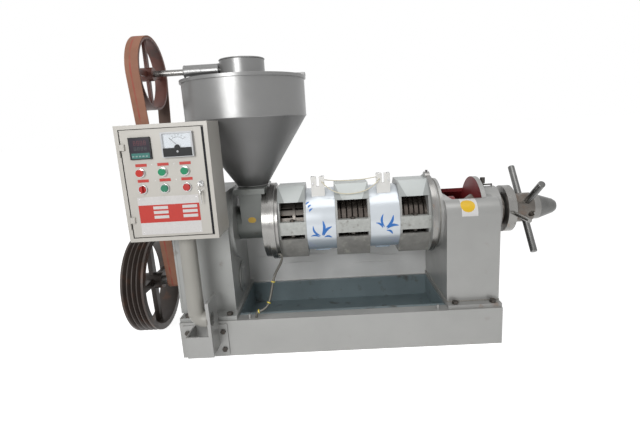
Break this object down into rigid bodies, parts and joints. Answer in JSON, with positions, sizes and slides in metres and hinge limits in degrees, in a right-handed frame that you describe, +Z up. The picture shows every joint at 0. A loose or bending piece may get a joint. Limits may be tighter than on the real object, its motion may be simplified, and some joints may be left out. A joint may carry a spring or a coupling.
{
  "type": "screw oil press",
  "caption": "Screw oil press: seed hopper with belt-driven stirrer, gearbox, heated press cage over an oil tray, bearing post with choke adjuster and a swing-door control box.",
  "frame": {"origin": "floor level, centre of the four foundation holes in the base frame", "axes": "+X along the press screw towards the adjusting handles, +Y to the back, +Z up"},
  "size_m": [1.766, 0.648, 1.2484],
  "materials": {
    "machine_grey": "semi-gloss",
    "post_silver": "semi-gloss",
    "hopper_silver": "metallic satin",
    "tray_sheet": "satin",
    "box_ivory": "powder coat",
    "dark_iron": "painted, worn",
    "feeder_red": "semi-gloss",
    "belt": "woven, matt",
    "bright_steel": "turned",
    "gear_steel": "oiled",
    "bolt_steel": "black oxide",
    "heater_sheet": "film-covered",
    "ceramic": "glazed",
    "link_wire": "glass sleeve",
    "lead_grey": "braided",
    "tie_yellow": "smooth",
    "instrument_black": "fine grain",
    "meter_face": "smooth",
    "needle_black": "matt",
    "bezel_chrome": "polished",
    "lamp_green": "lens",
    "button_green": "smooth",
    "button_red": "smooth",
    "plate_zinc": "zinc plated"
  },
  "bodies": {
    "frame": {"base_frame": "post_silver", "oil_tray": "tray_sheet", "frame_bolts": "bolt_steel", "gearbox_housing": "machine_grey", "gearbox_cover": "machine_grey", "shaft_bearings": "bright_steel", "input_bearing_cover": "machine_grey", "feed_housing": "machine_grey", "upper_cage": "machine_grey", "lower_cage": "machine_grey", "cage_bolts": "bolt_steel", "press_bars": "gear_steel", "press_rings": "gear_steel", "heater_bands": "heater_sheet", "terminal_blocks": "ceramic", "heater_link_front": "link_wire", "heater_link_rear": "link_wire", "sensor_lead": "lead_grey", "lead_ties": "tie_yellow", "bearing_post": "post_silver", "grease_cup": "bolt_steel", "hopper": "hopper_silver", "hopper_crossbar": "hopper_silver", "bevel_gear_case": "hopper_silver", "feeder_shaft_tube": "hopper_silver", "conduit_pipe": "machine_grey", "conduit_bracket": "machine_grey", "control_box": "box_ivory", "mounting_plate": "plate_zinc", "contactors": "instrument_black", "splash_guard": "hopper_silver", "flat_belt": "belt"},
    "input": {"input_shaft": "bright_steel", "v_belt_pulley": "dark_iron", "feeder_drive_pulley": "feeder_red"},
    "intermediate": {"intermediate_shaft": "bright_steel", "intermediate_gear": "gear_steel"},
    "screw": {"screw_shaft": "bright_steel", "main_gear": "gear_steel", "press_worms": "gear_steel"},
    "feeder": {"feeder_shaft": "bright_steel", "feeder_pulley": "feeder_red"},
    "stirrer": {"agitator": "bright_steel", "bevel_gear": "gear_steel"},
    "choke": {"choke_sleeve": "bright_steel", "thrust_bearing": "bright_steel"},
    "adjuster": {"adjusting_screw": "bright_steel", "capstan_bars": "bright_steel"},
    "locking_nut": {"lock_nut": "bright_steel"},
    "door": {"box_door": "box_ivory", "temperature_controller": "instrument_black", "ammeter": "meter_face", "pilot_lamps": "lamp_green", "button_bezels": "bezel_chrome"},
    "needle": {"ammeter_needle": "needle_black"},
    "start": {"start_button": "button_green"},
    "stop": {"stop_button": "button_red"},
    "selector": {"selector_knob": "button_red"},
    "lock": {"cam_lock": "bright_steel"},
    "hanging_key": {"spare_key": "bright_steel"}
  },
  "joints": [
    {"name": "input_turn", "type": "hinge", "parent": "frame", "child": "input", "pos_m": [-0.8, 0, 0.25], "axis": [1, 0, 0], "continuous": true},
    {"name": "intermediate_turn", "type": "hinge", "parent": "frame", "child": "intermediate", "pos_m": [-0.55, 0.03722, 0.35563], "axis": [1, 0, 0], "continuous": true},
    {"name": "screw_turn", "type": "hinge", "parent": "frame", "child": "screw", "pos_m": [-0.5, 0, 0.488], "axis": [1, 0, 0], "continuous": true},
    {"name": "feeder_turn", "type": "hinge", "parent": "frame", "child": "feeder", "pos_m": [-0.6, 0, 1.106], "axis": [1, 0, 0], "continuous": true},
    {"name": "stirrer_turn", "type": "hinge", "parent": "frame", "child": "stirrer", "pos_m": [-0.328, 0, 0.9], "axis": [0, 0, 1], "continuous": true},
    {"name": "choke_slide", "type": "slide", "parent": "frame", "child": "choke", "axis": [1, 0, 0], "range_m": [-0.008, 0.008]},
    {"name": "adjusting_turn", "type": "hinge", "parent": "choke", "child": "adjuster", "pos_m": [0.784, 0, 0.488], "axis": [1, 0, 0], "range_deg": [-360, 360]},
    {"name": "lock_nut_turn", "type": "hinge", "parent": "choke", "child": "locking_nut", "pos_m": [0.709, 0, 0.488], "axis": [1, 0, 0], "range_deg": [-60, 30]},
    {"name": "door_swing", "type": "hinge", "parent": "frame", "child": "door", "pos_m": [-0.68, -0.3823, 0.71], "axis": [0, 0, -1], "range_deg": [0, 110]},
    {"name": "needle_swing", "type": "hinge", "parent": "door", "child": "needle", "pos_m": [-0.4885, -0.3825, 0.837], "axis": [0, 1, 0], "range_deg": [0, 90], "stiffness_Nm_per_rad": 0.0002, "springref_deg": -11.46},
    {"name": "start_press", "type": "slide", "parent": "door", "child": "start", "axis": [0, 1, 0], "range_m": [0, 0.004], "stiffness_N_per_m": 400},
    {"name": "stop_press", "type": "slide", "parent": "door", "child": "stop", "axis": [0, 1, 0], "range_m": [0, 0.004], "stiffness_N_per_m": 400},
    {"name": "selector_turn", "type": "hinge", "parent": "door", "child": "selector", "pos_m": [-0.622, -0.38, 0.702], "axis": [0, 1, 0], "range_deg": [-45, 45]},
    {"name": "lock_turn", "type": "hinge", "parent": "door", "child": "lock", "pos_m": [-0.43, -0.38, 0.712], "axis": [0, -1, 0], "range_deg": [0, 90]},
    {"name": "key_swing", "type": "hinge", "parent": "lock", "child": "hanging_key", "pos_m": [-0.43, -0.393, 0.712], "axis": [1, 0, 0], "range_deg": [-70, 5]}
  ],
  "couplings": [
    {"joint": "intermediate_turn", "follows": "input_turn", "ratio": -0.33333},
    {"joint": "screw_turn", "follows": "input_turn", "ratio": 0.10318},
    {"joint": "feeder_turn", "follows": "input_turn", "ratio": 0.19943},
    {"joint": "stirrer_turn", "follows": "input_turn", "ratio": -0.19943},
    {"joint": "choke_slide", "follows": "adjusting_turn", "m_per_rad": 0.0012732}
  ]
}
